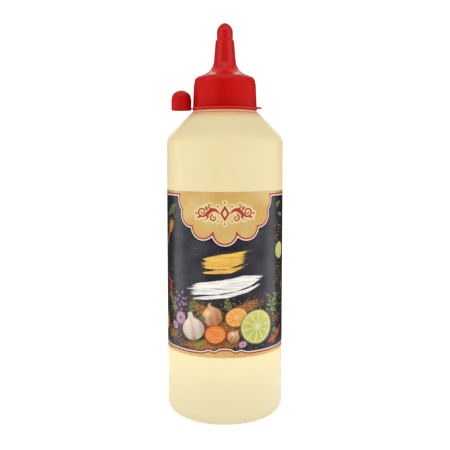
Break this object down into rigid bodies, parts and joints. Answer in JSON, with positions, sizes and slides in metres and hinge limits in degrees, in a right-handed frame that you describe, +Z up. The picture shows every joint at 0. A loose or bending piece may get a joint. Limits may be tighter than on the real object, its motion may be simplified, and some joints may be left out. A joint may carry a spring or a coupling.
{
  "type": "mayonnaise squeeze bottle",
  "caption": "Round squeeze bottle full of mayonnaise, with a sloped shoulder, a wrap label, a red screw cap with a pointed spout and a tethered tip cap.",
  "frame": {"origin": "centre of the base, in the plane that the bottle stands on", "axes": "+Z up along the bottle's axis, -Y towards the front of the label, -X towards the tip cap"},
  "size_m": [0.065, 0.065, 0.2181],
  "materials": {
    "bottle_plastic": "translucent satin polyethylene, cream with the mayonnaise behind it",
    "mayonnaise": "thick pale yellow sauce",
    "label_print": "printed film, slate ground with a gold plaque and food pictures",
    "cap_plastic": "red moulded plastic, semi-gloss"
  },
  "bodies": {
    "root": {"bottle": "bottle_plastic", "mayonnaise": "mayonnaise", "label": "label_print", "screw_cap": "cap_plastic", "tip_cap_tether": "cap_plastic"}
  },
  "joints": []
}
